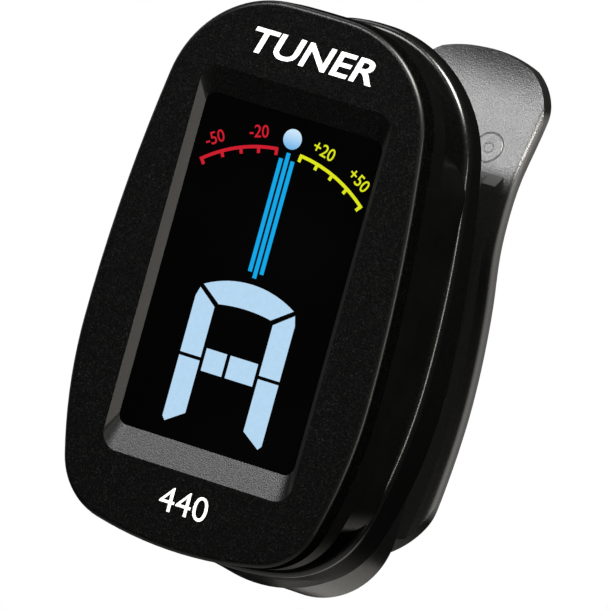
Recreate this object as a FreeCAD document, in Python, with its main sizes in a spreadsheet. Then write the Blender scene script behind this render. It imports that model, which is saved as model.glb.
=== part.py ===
"""Clip-on instrument tuner: a display head that swivels on a sprung two-arm clip.

Sketches and solids are drawn in the head's own axes, in millimetres: X to the
right, Y from the bezel's front face towards the back, Z up the display.  Every
piece is then placed so that the origin is the middle of the closed jaws.
"""
import FreeCAD, Part
import math
import os
import Sketcher

V = FreeCAD.Vector

doc = FreeCAD.newDocument("clip_on_tuner")
sheet = doc.addObject("Spreadsheet::Sheet", "dims")

DIMENSIONS = {
    # head: an egg-shaped case, widest below its middle
    "face_half_width": 16.45,
    "face_top": 27.5,
    "face_bottom": -27.7,
    "face_widest": -8.1,
    "face_top_radius": 150.0,
    "face_bottom_radius": 43.0,
    "face_side_radius_up": 172.0,
    "face_side_radius_low": 49.0,
    "face_corner_up": 11.5,
    "face_corner_low": 7.0,
    "case_wall": 1.5,
    "bezel_depth": 1.6,
    "case_split": 2.5,
    "case_rim_depth": 6.5,
    "case_dome_radius": 180.0,
    "case_dome_level": -2.0,
    "edge_round": 0.55,
    "rim_round": 0.35,
    "lip_height": 0.7,
    "lip_inset": 0.8,
    "lip_clearance": 0.05,
    # display opening
    "window_half_width": 10.85,
    "window_top": 19.6,
    "window_bottom": -19.9,
    "window_corner": 1.9,
    "glass_half_width": 10.07,
    "glass_top": 16.9,
    "glass_bottom": -17.2,
    "glass_corner": 1.1,
    "recess_depth": 0.85,
    "lens_margin": 1.2,
    "lens_thick": 0.7,
    "lens_clearance": 0.1,
    # case screws
    "post_radius": 1.6,
    "post_length": 1.0,
    "case_screw_radius": 0.6,
    "case_screw_clear": 0.8,
    "case_screw_head": 1.2,
    "case_screw_head_height": 0.6,
    "sink_radius": 1.35,
    "sink_floor": 0.75,
    "screw_pilot_floor": 0.6,
    # rear housing
    "hump_half_width": 15.8,
    "hump_top": 17.0,
    "hump_bottom": -22.0,
    "hump_back": 11.6,
    "hump_wall": 1.25,
    "hump_corner": 4.5,
    "hump_bow": 0.55,
    # electronics
    "lcd_front": 1.62,
    "lcd_thick": 1.45,
    "light_front": 3.15,
    "light_thick": 1.3,
    "board_front": 4.6,
    "board_thick": 1.0,
    "board_half_width": 13.6,
    "board_top": 14.4,
    "board_bottom": -20.2,
    "board_notch": 1.5,
    # coin cell and its pull-out tray
    "cell_radius": 10.0,
    "cell_thick": 3.2,
    "cell_level": -9.4,
    "cell_front": 7.0,
    "tray_half_width": 11.3,
    "tray_top": 1.3,
    "tray_gap": 0.15,
    "tray_corner": 1.0,
    "tray_grip_half": 9.5,
    "tray_grip_height": 1.05,
    "tray_grip_proud": 0.5,
    "contact_thick": 0.2,
    # power button
    "button_level": 6.0,
    "button_depth": 8.7,
    "button_length": 6.6,
    "button_height": 2.6,
    "button_proud": 0.55,
    "button_stem": 2.6,
    "button_flange": 0.3,
    "button_gap": 0.15,
    "switch_face": -12.9,
    # swivel
    "swivel_level": 8.0,
    "hub_radius": 3.2,
    "hub_bore": 3.25,
    "hub_end": 14.1,
    "hub_screw": 1.1,
    "boss_radius": 2.7,
    "boss_front": 7.5,
    "ring_radius": 5.6,
    "ring_gap": 0.08,
    "washer_radius": 4.6,
    "washer_thick": 0.6,
    "washer_gap": 0.12,
    "swivel_head_radius": 2.6,
    "swivel_head_height": 1.5,
    # clip front arm: a wedge-shaped shell and a tongue-shaped jaw
    "shell_front": 12.5,
    "shell_half_width": 15.85,
    "shell_top": 27.5,
    "shell_bottom": -28.8,
    "shell_widest": -5.0,
    "shell_top_radius": 60.0,
    "shell_bottom_radius": 26.0,
    "shell_side_radius_up": 120.0,
    "shell_side_radius_low": 60.0,
    "shell_corner_up": 11.5,
    "shell_corner_low": 10.5,
    "shell_lead_corner_up": 13.8,
    "flare_bottom": -30.4,
    "flare_bottom_radius": 14.0,
    "flare_side_radius_low": 45.0,
    "flare_corner_low": 12.0,
    "flare_depth": 9.0,
    "shell_round": 0.7,
    "shell_lead": 1.2,
    "shell_back": 17.1,
    "shell_taper": 0.095,
    "shell_wall": 1.5,
    "tongue_half_width": 8.4,
    "tongue_level": -22.5,
    "tongue_top": -13.5,
    "tongue_back": 31.3,
    "tongue_root_level": -20.6,
    "tongue_wall": 2.2,
    "pad_ledge": 1.2,
    "pad_plane": 31.8,
    "grip_level": -22.0,
    "pad_thick": 1.8,
    "pad_clearance": 0.15,
    # hinge
    "pin_depth": 27.0,
    "pin_level": 6.0,
    "pin_radius": 1.5,
    "pin_running": 0.05,
    "pin_half_length": 6.8,
    "lug_radius": 3.7,
    "front_lug_inner": 5.0,
    "front_lug_outer": 6.6,
    "rear_lug_inner": 2.9,
    "rear_lug_outer": 4.7,
    "rib_inner": 5.4,
    "rib_outer": 6.95,
    # clip rear arm
    "arm_half_width": 8.35,
    "arm_thick": 1.75,
    "arm_round": 0.6,
    # spring
    "wire_radius": 0.45,
    "coil_radius": 2.6,
    "coil_turns": 4.0,
    # joining and cutting
    "overlap": 0.1,
    "through": 12.0,
    "wide_cut": 40.0,
}

for row, (alias, value) in enumerate(DIMENSIONS.items(), start=1):
    sheet.set("A%d" % row, alias)
    sheet.set("B%d" % row, str(value))
    sheet.setAlias("B%d" % row, alias)
doc.recompute()


def dim(alias):
    return float(getattr(sheet, alias))


GRIP_SHIFT = V(0, -dim("pad_plane"), -dim("grip_level"))
NODES = []


def place(item, label):
    """Name a finished piece and move it into the row's frame."""
    item.Label = label
    item.Placement = FreeCAD.Placement(GRIP_SHIFT, FreeCAD.Rotation())
    NODES.append(item)
    return item


# ---------------------------------------------------------------- sketching

def body(name):
    return doc.addObject("PartDesign::Body", name)


def origin_plane(owner, role):
    return next(f for f in owner.Origin.OriginFeatures if f.Role == role)


def sketch_on(owner, name, role, offset):
    """A sketch on an origin plane, moved along its normal by an expression."""
    sk = owner.newObject("Sketcher::SketchObject", name)
    sk.AttachmentSupport = [(origin_plane(owner, role), "")]
    sk.MapMode = "FlatFace"
    sk.setExpression("AttachmentOffset.Base.z", offset)
    return sk


def front_sketch(owner, name, depth):
    """A sketch seen from the front: x is X, y is Z, at Y = depth."""
    return sketch_on(owner, name, "XZ_Plane", "-(%s)" % depth)


def side_sketch(owner, name, across):
    """A sketch seen from the right: x is Y, y is Z, at X = across."""
    return sketch_on(owner, name, "YZ_Plane", across)


def line(a, b):
    return Part.LineSegment(V(a[0], a[1], 0), V(b[0], b[1], 0))


def arc(a, middle, b):
    return Part.Arc(V(a[0], a[1], 0), V(middle[0], middle[1], 0), V(b[0], b[1], 0))


def polygon(sk, points):
    """A closed run of straight lines through the points."""
    first = sk.GeometryCount
    count = len(points)
    for i in range(count):
        sk.addGeometry(line(points[i], points[(i + 1) % count]))
    for i in range(count):
        sk.addConstraint(Sketcher.Constraint("Coincident", first + i, 2, first + (i + 1) % count, 1))


def circle(sk, centre, radius):
    """A circle with its radius tied to the sheet."""
    size = float(sk.evalExpression(radius))
    index = sk.addGeometry(Part.Circle(V(centre[0], centre[1], 0), V(0, 0, 1), size))
    ring = sk.addConstraint(Sketcher.Constraint("Radius", index, size))
    sk.setExpression("Constraints[%d]" % ring, radius)


def rounded_box(sk, left, bottom, right, top, radius):
    """An upright rectangle with round corners."""
    diagonal = radius * (1 - math.sqrt(0.5))
    corners = [
        ((right - radius, bottom), (right - diagonal, bottom + diagonal), (right, bottom + radius)),
        ((right, top - radius), (right - diagonal, top - diagonal), (right - radius, top)),
        ((left + radius, top), (left + diagonal, top - diagonal), (left, top - radius)),
        ((left, bottom + radius), (left + diagonal, bottom + diagonal), (left + radius, bottom)),
    ]
    for i, corner in enumerate(corners):
        sk.addGeometry(arc(*corner))
        sk.addGeometry(line(corner[2], corners[(i + 1) % 4][0]))


def circles_meet(centre_a, radius_a, centre_b, radius_b, sign):
    """The upper (sign 1) or lower (sign -1) crossing of two circles in the sketch plane."""
    span = centre_b - centre_a
    apart = span.Length
    along = (radius_a ** 2 - radius_b ** 2 + apart ** 2) / (2 * apart)
    height = math.sqrt(max(radius_a ** 2 - along ** 2, 0.0))
    foot = centre_a + span * (along / apart)
    normal = V(-span.y, span.x, 0) * (height / apart)
    return max((foot + normal, foot - normal), key=lambda p: sign * p.y)


def egg(sk, prefix, inset, lower=None, corner_up=None):
    """The egg outline: ten tangent arcs, moved inwards by inset.

    A top and a bottom arc centred on Z, two arcs for each side that meet at
    the widest level, and one arc for each corner.  The arcs below the widest
    level take their sizes from the prefix lower, where it is given, and the
    upper corners their radius from corner_up.
    """
    lower = lower or prefix
    wide = dim(prefix + "_half_width") - inset
    top = dim(prefix + "_top") - inset
    low = dim(lower + "_bottom") + inset
    level = dim(prefix + "_widest")
    top_r, side_up, high_r = [
        dim(name) - inset for name in (prefix + "_top_radius", prefix + "_side_radius_up",
                                       corner_up or prefix + "_corner_up")]
    low_r, side_low, corner_low = [
        dim(lower + kind) - inset for kind in ("_bottom_radius", "_side_radius_low", "_corner_low")]
    half = []
    for end, end_r, side_r, corner_r in ((top, top_r, side_up, high_r),
                                         (low, low_r, side_low, corner_low)):
        sign = 1 if end > level else -1
        end_c = V(0, end - sign * end_r, 0)
        side_c = V(wide - side_r, level, 0)
        corner_c = circles_meet(end_c, end_r - corner_r, side_c, side_r - corner_r, sign)
        to_end = (corner_c - end_c).normalize()
        to_side = (corner_c - side_c).normalize()
        joint_end = corner_c + to_end * corner_r
        joint_side = corner_c + to_side * corner_r
        middle = corner_c + (to_end + to_side).normalize() * corner_r
        side_mid_dir = (to_side + V(1, 0, 0)).normalize()
        side_mid = side_c + side_mid_dir * side_r
        half.append((joint_end, middle, joint_side, side_mid, V(0, end, 0)))
    (te, tm, ts, tsm, t0), (be, bm, bs, bsm, b0) = half  # top arcs' joints, then the bottom's
    widest = V(wide, level, 0)

    def flip(p):
        return V(-p.x, p.y, 0)

    runs = [(flip(te), t0, te), (te, tm, ts), (ts, tsm, widest), (widest, bsm, bs), (bs, bm, be),
            (be, b0, flip(be)), (flip(be), flip(bm), flip(bs)), (flip(bs), flip(bsm), flip(widest)),
            (flip(widest), flip(tsm), flip(ts)), (flip(ts), flip(tm), flip(te))]
    for a, m, b in runs:
        sk.addGeometry(Part.Arc(a, m, b))


def bowed_box(sk, half_width, bottom, top, corner, bow):
    """A box with round corners whose two long sides bow outwards."""
    left, right = -half_width, half_width
    middle = (top + bottom) / 2
    cut = corner * (1 - math.sqrt(0.5))
    sk.addGeometry(arc((right, bottom + corner), (right + bow, middle), (right, top - corner)))
    sk.addGeometry(arc((right, top - corner), (right - cut, top - cut), (right - corner, top)))
    sk.addGeometry(line((right - corner, top), (left + corner, top)))
    sk.addGeometry(arc((left + corner, top), (left + cut, top - cut), (left, top - corner)))
    sk.addGeometry(arc((left, top - corner), (left - bow, middle), (left, bottom + corner)))
    sk.addGeometry(arc((left, bottom + corner), (left + cut, bottom + cut), (left + corner, bottom)))
    sk.addGeometry(line((left + corner, bottom), (right - corner, bottom)))
    sk.addGeometry(arc((right - corner, bottom), (right - cut, bottom + cut), (right, bottom + corner)))


# ---------------------------------------------------------------- features

def pad(owner, sk, length):
    """Pad a front sketch backwards, towards +Y."""
    feature = owner.newObject("PartDesign::Pad", "Pad")
    feature.Profile = sk
    feature.setExpression("Length", length)
    feature.Reversed = True
    doc.recompute()
    return feature


def pocket(owner, sk, length):
    """Cut a front sketch backwards, towards +Y."""
    feature = owner.newObject("PartDesign::Pocket", "Pocket")
    feature.Profile = sk
    feature.setExpression("Length", length)
    before = owner.Shape.Volume
    doc.recompute()
    if owner.Shape.Volume >= before - 1e-6:
        raise RuntimeError("%s: the pocket of %s cuts nothing" % (owner.Name, sk.Name))
    return feature


def loft(owner, kind, front, back):
    """Add or cut the solid between two front sketches."""
    solid = owner.newObject("PartDesign::" + kind, kind)
    solid.Profile = front
    solid.Sections = [back]
    solid.Ruled = True
    before = owner.Shape.Volume if owner.Shape.Solids else 0.0
    doc.recompute()
    change = owner.Shape.Volume - before
    if (change > 0) != (kind == "AdditiveLoft"):
        raise RuntimeError("%s: the loft from %s goes the wrong way" % (owner.Name, front.Name))
    return solid


def across(owner, sk, kind, length):
    """Pad or pocket a side sketch, centred on it."""
    feature = owner.newObject("PartDesign::" + kind, kind)
    feature.Profile = sk
    feature.Midplane = True
    feature.setExpression("Length", length)
    doc.recompute()
    return feature


def round_edges(owner, base, wanted, radius):
    """Fillet the edges of base that the test picks."""
    picked = ["Edge%d" % (i + 1) for i, e in enumerate(base.Shape.Edges) if wanted(e)]
    feature = owner.newObject("PartDesign::Fillet", "Fillet")
    feature.Base = (base, picked)
    feature.setExpression("Radius", radius)
    doc.recompute()
    return feature


def in_plane(edge, depth):
    """True for an edge that lies in the plane Y = depth."""
    return all(abs(v.Y - depth) < 1e-5 for v in edge.Vertexes) and abs(
        edge.valueAt((edge.FirstParameter + edge.LastParameter) / 2).y - depth) < 1e-5


def box(x0, x1, y0, y1, z0, z1):
    return Part.makeBox(x1 - x0, y1 - y0, z1 - z0, V(x0, y0, z0))


def disc(radius, y0, y1, x=0.0, z=0.0):
    """A cylinder along Y."""
    return Part.makeCylinder(radius, y1 - y0, V(x, y0, z), V(0, 1, 0))


def bar(radius, x0, x1, y, z):
    """A cylinder along X."""
    return Part.makeCylinder(radius, x1 - x0, V(x0, y, z), V(1, 0, 0))


def feature(label, shape):
    """A piece made of Part solids that read their sizes from the sheet."""
    item = doc.addObject("Part::Feature", label)
    item.Shape = shape.removeSplitter()
    return place(item, label)


SCREWS = [(-8.3, 22.4), (8.3, 22.4), (-9.0, -23.6), (9.0, -23.6)]


# ---------------------------------------------------------------- head: cases

def lens_outline(sk, margin):
    """The display opening's outline, moved outwards by margin."""
    rounded_box(sk, -dim("glass_half_width") - margin, dim("glass_bottom") - margin,
                dim("glass_half_width") + margin, dim("glass_top") + margin,
                dim("glass_corner") + margin / 3)


def front_case():
    owner = body("front_case_body")
    outline = front_sketch(owner, "FrontOutline", "0")
    egg(outline, "face", 0.0)
    slab = pad(owner, outline, "dims.case_split")
    round_edges(owner, slab, lambda e: in_plane(e, 0.0), "dims.edge_round")
    lip = front_sketch(owner, "Lip", "dims.case_split - dims.overlap")
    egg(lip, "face", dim("lip_inset"))
    pad(owner, lip, "dims.lip_height + dims.overlap")
    inside = front_sketch(owner, "Inside", "dims.bezel_depth")
    egg(inside, "face", dim("case_wall"))
    pocket(owner, inside, "dims.case_split")
    for i, (x, z) in enumerate(SCREWS):
        post = front_sketch(owner, "Post%d" % i, "dims.bezel_depth - dims.overlap")
        circle(post, (x, z), "dims.post_radius")
        pad(owner, post, "dims.post_length")
    seat = front_sketch(owner, "LensSeat", "dims.recess_depth")
    lens_outline(seat, dim("lens_margin"))
    pocket(owner, seat, "dims.bezel_depth")
    # the loft's two sections lie just outside the face and the seat, so no skin is left
    outer = front_sketch(owner, "WindowOuter", "-0.001")
    rounded_box(outer, -dim("window_half_width"), dim("window_bottom"),
                dim("window_half_width"), dim("window_top"), dim("window_corner"))
    inner = front_sketch(owner, "WindowInner", "dims.recess_depth + 0.001")
    lens_outline(inner, 0.0)
    loft(owner, "SubtractiveLoft", outer, inner)
    for i, (x, z) in enumerate(SCREWS):
        pilot = front_sketch(owner, "Pilot%d" % i, "dims.bezel_depth - dims.screw_pilot_floor")
        circle(pilot, (x, z), "dims.case_screw_radius")
        pocket(owner, pilot, "dims.through")
    place(owner, "front_case")


def dome_depth(z):
    """Depth of the rear case's curved back at a level."""
    r = dim("case_dome_radius")
    return dim("case_rim_depth") - r + math.sqrt(r * r - (z - dim("case_dome_level")) ** 2)


def on_dome(edge):
    """True for an edge round the rim of the rear case's curved back."""
    middle = edge.valueAt((edge.FirstParameter + edge.LastParameter) / 2)
    ends = [v.Point for v in edge.Vertexes]
    return all(abs(p.y - dome_depth(p.z)) < 1e-4 for p in ends + [middle])


def hump_outline(sk, inset):
    """The battery housing's outline, moved inwards by inset."""
    bow = dim("hump_bow")
    bowed_box(sk, dim("hump_half_width") - bow - inset, dim("hump_bottom") + inset,
              dim("hump_top") - inset, dim("hump_corner") - inset, bow)


def rear_case():
    owner = body("rear_case_body")
    outline = front_sketch(owner, "RearOutline", "dims.case_split")
    egg(outline, "face", 0.0)
    pad(owner, outline, "dims.case_rim_depth - dims.case_split")
    dome = side_sketch(owner, "Dome", "0")
    top, low, behind = 31.0, -31.0, 9.0
    middle = dim("case_dome_level")
    dome.addGeometry(arc((dome_depth(top), top), (dome_depth(middle), middle), (dome_depth(low), low)))
    for a, b in (((dome_depth(low), low), (behind, low)), ((behind, low), (behind, top)),
                 ((behind, top), (dome_depth(top), top))):
        dome.addGeometry(line(a, b))
    domed = across(owner, dome, "Pocket", "dims.wide_cut")
    round_edges(owner, domed, on_dome, "dims.rim_round")
    hump = front_sketch(owner, "Hump", "dims.case_split + 1")
    hump_outline(hump, 0.0)
    block = pad(owner, hump, "dims.hump_back - dims.case_split - 1")
    round_edges(owner, block, lambda e: in_plane(e, dim("hump_back")), "dims.edge_round")
    shelf = front_sketch(owner, "ShallowInside", "dims.case_split - dims.overlap")
    egg(shelf, "face", dim("lip_inset") - dim("lip_clearance"))
    pocket(owner, shelf, "dims.lip_height + dims.lip_clearance + dims.overlap")
    room = front_sketch(owner, "HumpInside", "dims.case_split")
    hump_outline(room, dim("hump_wall"))
    pocket(owner, room, "dims.hump_back - dims.hump_wall - dims.case_split")
    hub = (0, dim("swivel_level"))
    boss = front_sketch(owner, "ScrewBoss", "dims.boss_front")
    circle(boss, hub, "dims.boss_radius")
    pad(owner, boss, "dims.hump_back - dims.boss_front - 0.5")
    spigot = front_sketch(owner, "Spigot", "dims.hump_back - 0.5")
    circle(spigot, hub, "dims.hub_radius")
    pad(owner, spigot, "dims.hub_end - dims.hump_back + 0.5")
    pilot = front_sketch(owner, "HubPilot", "dims.boss_front + 0.5")
    circle(pilot, hub, "dims.hub_screw")
    pocket(owner, pilot, "dims.through")
    slot = front_sketch(owner, "TraySlot", "dims.cell_front - dims.tray_gap")
    side = dim("tray_half_width") + dim("tray_gap")
    wall_top = dim("hump_bottom") + 3
    polygon(slot, [(-side, low), (side, low), (side, wall_top), (-side, wall_top)])
    pocket(owner, slot, "dims.cell_thick + 2 * dims.tray_gap")
    hole = side_sketch(owner, "ButtonHole", "-(dims.hump_half_width)")
    button_outline(hole, dim("button_gap"), dim("button_gap"))
    across(owner, hole, "Pocket", "6 mm")
    for i, (x, z) in enumerate(SCREWS):
        clear = front_sketch(owner, "Clear%d" % i, "dims.case_split - 1")
        circle(clear, (x, z), "dims.case_screw_clear")
        pocket(owner, clear, "9 mm")
        sink = front_sketch(owner, "Sink%d" % i, "%f mm" % (dome_depth(z) - dim("sink_floor")))
        circle(sink, (x, z), "dims.sink_radius")
        pocket(owner, sink, "6 mm")
    place(owner, "rear_case")


def cross_slot(x, z, front, back, half_length, half_width):
    """Two crossed slots for a screw's head, cut from front to back."""
    return box(x - half_length, x + half_length, front, back, z - half_width, z + half_width).fuse(
        box(x - half_width, x + half_width, front, back, z - half_length, z + half_length))


def case_screws():
    solids = []
    for x, z in SCREWS:
        seat = dome_depth(z) - dim("sink_floor")
        end = seat + dim("case_screw_head_height")
        head = disc(dim("case_screw_head"), seat, end, x, z)
        shank = disc(dim("case_screw_radius"), dim("bezel_depth") - 0.5, seat + 0.01, x, z)
        solids.append(head.fuse(shank).cut(cross_slot(x, z, end - 0.25, end + 0.1, 0.8, 0.15)))
    feature("case_screws", Part.makeCompound(solids))


# ---------------------------------------------------------------- head: display

def display_window():
    owner = body("display_window_body")
    sk = front_sketch(owner, "Lens", "dims.recess_depth + 0.02")
    lens_outline(sk, dim("lens_margin") - dim("lens_clearance"))
    pad(owner, sk, "dims.lens_thick")
    place(owner, "display_window")


def display_stack():
    panel_half = dim("glass_half_width") + 1.3
    lcd_back = dim("lcd_front") + dim("lcd_thick")
    feature("lcd_panel", box(-panel_half, panel_half, dim("lcd_front"), lcd_back, -19.5, 18.0))
    front = dim("light_front")
    back = front + dim("light_thick")
    guide = box(-10.6, 10.6, front, back, -17.4, 14.6)
    for z in (-14.0, 11.0):  # snap ears
        guide = guide.fuse(box(-11.6, 11.6, front + 0.2, back, z - 1.5, z + 1.5))
    feature("backlight", guide)
    feature("display_connector", box(-9.5, 9.5, lcd_back, dim("board_front"), -19.2, -18.1))


# ---------------------------------------------------------------- head: electronics

def electronics():
    front = dim("board_front")
    face = front + dim("board_thick")
    side, top, bottom = dim("board_half_width"), dim("board_top"), dim("board_bottom")
    board = box(-side, side, front, face, bottom, top)
    for x in (-side, side):
        for z in (bottom, top):
            board = board.cut(disc(dim("board_notch"), front - 1, face + 1, x, z))
    for x in (-10.5, 10.5):  # locating holes
        board = board.cut(disc(1.0, front - 1, face + 1, x, -16.5))
    feature("circuit_board", board)
    # (left, right, height, bottom, top) of each chip on the board's back
    chips = [(-4.0, 3.0, 0.95, 6.0, 13.0), (5.0, 9.0, 0.9, 8.6, 11.6),
             (-12.0, -8.6, 0.8, -4.0, -1.0), (9.4, 12.6, 0.8, -2.0, 1.2)]
    for i in range(6):
        z = -17.5 + 2.4 * i
        chips.append((11.6, 13.0, 0.5, z, z + 0.8))
    feature("board_components", Part.makeCompound(
        [box(x0, x1, face, face + height, z0, z1) for x0, x1, height, z0, z1 in chips]))
    stem = dim("switch_face")
    level, depth = dim("button_level"), dim("button_depth")
    switch = box(stem, stem + 2.9, face, depth + 1.2, level - 2.6, level + 2.6)
    feature("tact_switch", switch.fuse(bar(0.9, stem - 0.25, stem + 0.1, depth, level)))
    x, z = 8.4, dim("swivel_level") + 0.4
    back = dim("hump_back") - dim("hump_wall")
    brass = disc(4.9, back - 0.4, back, x, z)
    feature("piezo_sensor", brass.fuse(disc(3.4, back - 0.6, back - 0.39, x, z)))


def battery():
    level = dim("cell_level")
    front = dim("cell_front")
    rear = front + dim("cell_thick")
    radius = dim("cell_radius")
    sheet_metal = dim("contact_thick")
    face = dim("board_front") + dim("board_thick")
    can = disc(radius, front + 0.35, rear, 0, level)
    can = can.makeFillet(0.4, [e for e in can.Edges if in_plane(e, rear)])
    feature("coin_cell", can.fuse(disc(radius - 1.3, front, front + 0.4, 0, level)))
    blade = box(-3, 3, front - 0.35, front - 0.15, level - 6, level + 5)
    foot = box(-3, 3, face, front - 0.15, level - 6 - sheet_metal, level - 6)
    feature("battery_contact_negative", blade.fuse(foot))
    back = dim("hump_back") - dim("hump_wall")
    blade = box(-3.2, 3.2, back - 0.1, back, level - 5, level + 11.6)
    foot = box(-3.2, 3.2, face, back, level + 11.6, level + 11.6 + sheet_metal)
    feature("battery_contact_positive", blade.fuse(foot))


def battery_tray():
    owner = body("battery_tray_body")
    side = dim("tray_half_width")
    low = dim("hump_bottom")
    frame = front_sketch(owner, "TrayFrame", "dims.cell_front")
    rounded_box(frame, -side, low, side, dim("tray_top"), dim("tray_corner"))
    pad(owner, frame, "dims.cell_thick")
    well = front_sketch(owner, "CellWell", "dims.cell_front - dims.overlap")
    circle(well, (0, dim("cell_level")), "dims.cell_radius + 0.1")
    pocket(owner, well, "dims.cell_thick + 2 * dims.overlap")
    grip = front_sketch(owner, "TrayGrip", "dims.cell_front - dims.tray_grip_proud")
    half = dim("tray_grip_half")
    top = low - dim("tray_gap")
    rounded_box(grip, -half, top - dim("tray_grip_height"), half, top, 0.5)
    pad(owner, grip, "dims.cell_thick + 2 * dims.tray_grip_proud")
    neck = front_sketch(owner, "TrayNeck", "dims.cell_front")
    neck_half = half - 0.5
    polygon(neck, [(-neck_half, low - 0.3), (neck_half, low - 0.3), (neck_half, low + 0.5),
                   (-neck_half, low + 0.5)])
    pad(owner, neck, "dims.cell_thick")
    place(owner, "battery_tray")


def button_outline(sk, depth_margin, length_margin, corner=None):
    """The power button's outline on a side sketch, enlarged by the two margins."""
    half = dim("button_height") / 2 + depth_margin
    run = dim("button_length") / 2 + length_margin
    y, z = dim("button_depth"), dim("button_level")
    rounded_box(sk, y - half, z - run, y + half, z + run, corner or half - 0.01)


def side_pad(owner, sk, name, length):
    """Pad a side sketch towards +X."""
    lift = owner.newObject("PartDesign::Pad", name)
    lift.Profile = sk
    lift.setExpression("Length", length)
    doc.recompute()
    return lift


def power_button():
    owner = body("power_button_body")
    face = dim("hump_half_width") + dim("button_proud")
    cap = side_sketch(owner, "ButtonCap", "-(dims.hump_half_width + dims.button_proud)")
    button_outline(cap, 0.0, 0.0)
    lift = side_pad(owner, cap, "Cap", "dims.button_stem")
    round_edges(owner, lift, lambda e: all(v.X < 0.05 - face for v in e.Vertexes), "0.3 mm")
    flange = side_sketch(owner, "ButtonFlange", "-(dims.hump_half_width) + 1.9")
    button_outline(flange, 0.3, 0.5, 1.2)
    side_pad(owner, flange, "Flange", "dims.button_flange")
    place(owner, "power_button")


# ---------------------------------------------------------------- swivel

def swivel():
    level = dim("swivel_level")
    back = dim("hump_back")
    front = dim("shell_front")
    ring = disc(dim("ring_radius"), back, front - dim("ring_gap"), 0, level)
    ring = ring.cut(disc(dim("hub_radius") + 0.15, back - 1, front + 1, 0, level))
    feature("swivel_friction_ring", ring)
    inner = front + dim("shell_wall") + dim("washer_gap")
    seat = inner + dim("washer_thick")
    washer = disc(dim("washer_radius"), inner, seat, 0, level)
    feature("swivel_washer", washer.cut(disc(1.3, inner - 1, seat + 1, 0, level)))
    end = seat + dim("swivel_head_height")
    head = disc(dim("swivel_head_radius"), seat, end, 0, level)
    head = head.makeFillet(0.5, [e for e in head.Edges if in_plane(e, end)])
    shank = disc(dim("hub_screw"), dim("boss_front") + 0.9, seat + 0.01, 0, level)
    feature("swivel_screw", head.fuse(shank).cut(cross_slot(0, level, end - 0.7, end + 0.5, 1.5, 0.25)))


# ---------------------------------------------------------------- clip

def shell_back(z):
    """Depth of the shell's slanted back edge at a level."""
    return dim("shell_back") - dim("shell_taper") * z


def tongue_loft(owner, kind, start, inset):
    """The tongue's block, or its hollow: it deepens from the shell to the pad."""
    half = dim("tongue_half_width") - inset
    top = dim("tongue_top") - inset
    root = front_sketch(owner, kind + "TongueRoot", start)
    d_shape(root, half, dim("tongue_root_level"), top)
    tip = front_sketch(owner, kind + "TongueTip", "dims.tongue_back")
    d_shape(tip, half, dim("tongue_level"), top)
    return loft(owner, kind, root, tip)


def clip_front_arm():
    owner = body("clip_front_arm_body")
    outline = front_sketch(owner, "ShellOutline", "dims.shell_front")
    egg(outline, "shell", 0.0, corner_up="shell_lead_corner_up")
    plate = pad(owner, outline, "dims.shell_lead")
    round_edges(owner, plate, lambda e: in_plane(e, dim("shell_front")), "dims.shell_round")
    front = front_sketch(owner, "SkirtFront", "dims.shell_front + dims.shell_lead")
    egg(front, "shell", 0.0, corner_up="shell_lead_corner_up")
    back = front_sketch(owner, "SkirtBack", "dims.shell_front + dims.flare_depth")
    egg(back, "shell", 0.0, "flare")
    loft(owner, "AdditiveLoft", front, back)
    slant = side_sketch(owner, "SlantedBack", "0")
    polygon(slant, [(shell_back(32), 32), (shell_back(-32), -32), (30, -32), (30, 32)])
    across(owner, slant, "Pocket", "dims.wide_cut")
    inner_face = "dims.shell_front + dims.shell_wall"
    hollow = front_sketch(owner, "ShellInside", inner_face)
    egg(hollow, "shell", dim("shell_wall"))
    pocket(owner, hollow, "dims.through")
    tongue_loft(owner, "AdditiveLoft", inner_face + " - dims.overlap", 0.0)
    half = dim("tongue_half_width")
    level = dim("tongue_level")
    top = dim("tongue_top")
    ledge = dim("pad_ledge")
    seat = front_sketch(owner, "PadSeat", "dims.tongue_back - dims.pad_thick + 0.35")
    d_shape(seat, half - ledge, level, top - ledge)
    pocket(owner, seat, "4 mm")
    tongue_loft(owner, "SubtractiveLoft", inner_face, dim("tongue_wall"))
    lug = side_sketch(owner, "FrontLugs", "0")
    lug_outline(lug, (13.8, 13.0), (13.8, -3.0))
    across(owner, lug, "Pad", "2 * dims.front_lug_outer")
    split = side_sketch(owner, "BetweenLugs", "0")
    polygon(split, [(14.0, 16), (14.0, -10), (32.0, -10), (32.0, 16)])
    across(owner, split, "Pocket", "2 * dims.front_lug_inner")
    bore = side_sketch(owner, "FrontLugBore", "0")
    circle(bore, (dim("pin_depth"), dim("pin_level")), "dims.pin_radius")
    across(owner, bore, "Pocket", "dims.wide_cut")
    hub = front_sketch(owner, "HubBore", "dims.shell_front - 1")
    circle(hub, (0, dim("swivel_level")), "dims.hub_bore")
    pocket(owner, hub, "4 mm")
    place(owner, "clip_front_arm")


def d_shape(sk, half, level, top):
    """A tongue outline: square-cornered top, half-round bottom."""
    sk.addGeometry(arc((-half, level), (0, level - half), (half, level)))
    sk.addGeometry(line((half, level), (half, top)))
    sk.addGeometry(line((half, top), (-half, top)))
    sk.addGeometry(line((-half, top), (-half, level)))


def tangent_point(centre, radius, point, side):
    """Where a line from point touches the circle, on the given side."""
    dx, dy = point[0] - centre[0], point[1] - centre[1]
    swing = math.acos(radius / math.hypot(dx, dy))
    base = math.atan2(dy, dx)
    angle = base + side * swing
    return (centre[0] + radius * math.cos(angle), centre[1] + radius * math.sin(angle))


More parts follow.
